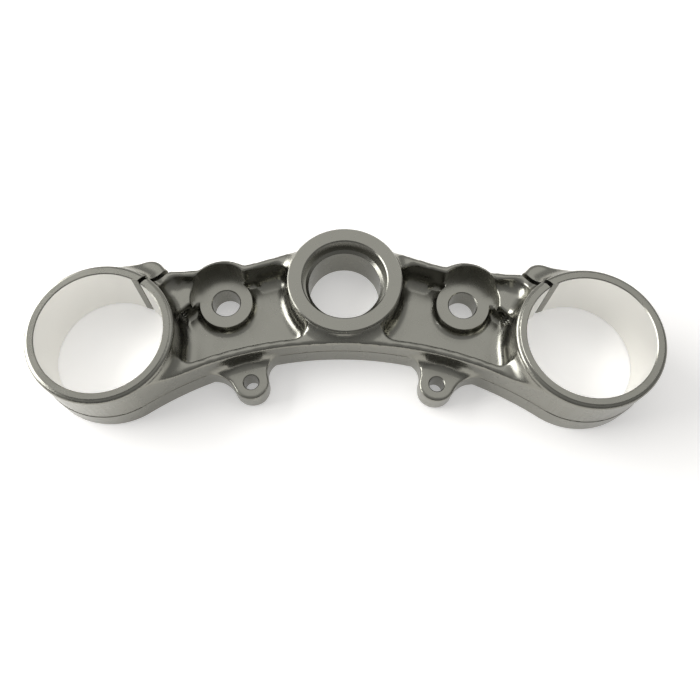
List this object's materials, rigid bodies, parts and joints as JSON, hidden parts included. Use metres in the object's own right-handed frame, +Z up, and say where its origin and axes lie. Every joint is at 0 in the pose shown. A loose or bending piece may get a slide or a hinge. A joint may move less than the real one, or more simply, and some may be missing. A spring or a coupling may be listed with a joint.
{
  "type": "motorcycle triple clamp",
  "caption": "Flat, arched upper fork clamp with split rings at its ends, a stem boss in the middle, pocketed bridge, spotfaced handlebar seats and small front lugs.",
  "frame": {"origin": "on the steering stem's axis, in the flat face that the clamp lies on", "axes": "+X to the right fork as the camera sees it, +Y towards the rear with the slits, +Z up along the stem, out of the pocketed face"},
  "size_m": [0.27, 0.0863, 0.0305],
  "materials": {
    "anodised": "satin"
  },
  "bodies": {
    "root": {"yoke": "anodised"}
  },
  "joints": []
}
